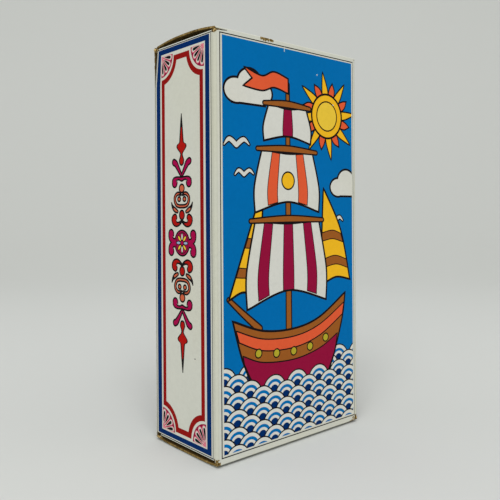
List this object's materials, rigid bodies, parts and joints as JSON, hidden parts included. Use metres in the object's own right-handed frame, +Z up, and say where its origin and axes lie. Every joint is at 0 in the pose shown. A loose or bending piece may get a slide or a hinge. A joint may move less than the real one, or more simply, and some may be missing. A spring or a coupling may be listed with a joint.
{
  "type": "folding carton game case",
  "caption": "Tall printed chipboard folding carton with a glued sleeve and, at each end, a bowed hinged lid, a tuck flap and dust flaps.",
  "frame": {"origin": "middle of the bottom of the whole part, on the surface that it stands on", "axes": "+Z up along the height, the front panel faces -Y, the pictured side panel faces -X"},
  "size_m": [0.075, 0.039, 0.1538],
  "materials": {
    "chipboard": "white clay-coated printed liner outside over brown chipboard, satin",
    "glue": "dried, matt"
  },
  "bodies": {
    "sleeve": {"front_panel": "chipboard", "left_side_panel": "chipboard", "right_side_panel": "chipboard", "back_panel": "chipboard", "glue_flap": "chipboard", "seam_glue": "glue"},
    "top_lid": {"top_lid": "chipboard"},
    "top_tuck": {"top_tuck_flap": "chipboard"},
    "top_left_dust": {"top_left_dust_flap": "chipboard"},
    "top_right_dust": {"top_right_dust_flap": "chipboard"},
    "bottom_lid": {"bottom_lid": "chipboard"},
    "bottom_tuck": {"bottom_tuck_flap": "chipboard"},
    "bottom_left_dust": {"bottom_left_dust_flap": "chipboard"},
    "bottom_right_dust": {"bottom_right_dust_flap": "chipboard"}
  },
  "joints": [
    {"name": "top_lid_crease", "type": "hinge", "parent": "sleeve", "child": "top_lid", "pos_m": [0, -0.01915, 0.15215], "axis": [1, 0, 0], "range_deg": [0, 180]},
    {"name": "top_tuck_crease", "type": "hinge", "parent": "top_lid", "child": "top_tuck", "pos_m": [0, 0.01805, 0.15215], "axis": [1, 0, 0], "range_deg": [0, 72]},
    {"name": "top_left_dust_crease", "type": "hinge", "parent": "sleeve", "child": "top_left_dust", "pos_m": [-0.03715, -0.001, 0.15105], "axis": [0, -1, 0], "range_deg": [0, 90]},
    {"name": "top_right_dust_crease", "type": "hinge", "parent": "sleeve", "child": "top_right_dust", "pos_m": [0.03715, -0.001, 0.15105], "axis": [0, 1, 0], "range_deg": [0, 90]},
    {"name": "bottom_lid_crease", "type": "hinge", "parent": "sleeve", "child": "bottom_lid", "pos_m": [0, -0.01915, 0.00085], "axis": [-1, 0, 0], "range_deg": [0, 180]},
    {"name": "bottom_tuck_crease", "type": "hinge", "parent": "bottom_lid", "child": "bottom_tuck", "pos_m": [0, 0.01805, 0.00085], "axis": [-1, 0, 0], "range_deg": [0, 72]},
    {"name": "bottom_left_dust_crease", "type": "hinge", "parent": "sleeve", "child": "bottom_left_dust", "pos_m": [-0.03715, -0.001, 0.00245], "axis": [0, 1, 0], "range_deg": [0, 90]},
    {"name": "bottom_right_dust_crease", "type": "hinge", "parent": "sleeve", "child": "bottom_right_dust", "pos_m": [0.03715, -0.001, 0.00245], "axis": [0, -1, 0], "range_deg": [0, 90]}
  ],
  "couplings": [
    {"joint": "top_tuck_crease", "follows": "top_lid_crease", "ratio": 0.4},
    {"joint": "top_left_dust_crease", "follows": "top_lid_crease", "ratio": 0.5},
    {"joint": "top_right_dust_crease", "follows": "top_lid_crease", "ratio": 0.5},
    {"joint": "bottom_tuck_crease", "follows": "bottom_lid_crease", "ratio": 0.4},
    {"joint": "bottom_left_dust_crease", "follows": "bottom_lid_crease", "ratio": 0.5},
    {"joint": "bottom_right_dust_crease", "follows": "bottom_lid_crease", "ratio": 0.5}
  ]
}
